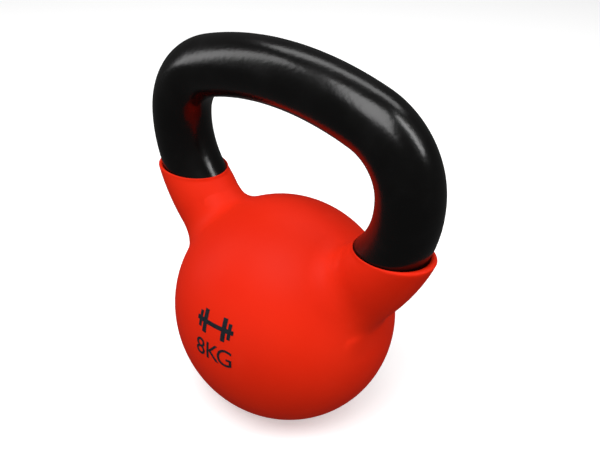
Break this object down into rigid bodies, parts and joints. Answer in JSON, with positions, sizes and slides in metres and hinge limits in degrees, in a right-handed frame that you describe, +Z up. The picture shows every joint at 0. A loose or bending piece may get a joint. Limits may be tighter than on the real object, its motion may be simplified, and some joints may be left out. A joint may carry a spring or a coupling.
{
  "type": "kettlebell",
  "caption": "Vinyl-covered kettlebell: iron ball with two horns, a round enamelled handle bar and a flat base.",
  "frame": {"origin": "middle of the flat base", "axes": "+Z up, the handle spans X, the printed face looks along -Y"},
  "size_m": [0.1846, 0.1177, 0.2058],
  "materials": {
    "iron": "matte",
    "enamel": "gloss",
    "vinyl": "matte",
    "ink": "matte"
  },
  "bodies": {
    "root": {"iron_casting": "iron", "handle_enamel": "enamel", "vinyl_cover": "vinyl", "weight_mark_8": "ink", "weight_mark_k": "ink", "weight_mark_g": "ink", "emblem": "ink"}
  },
  "joints": []
}
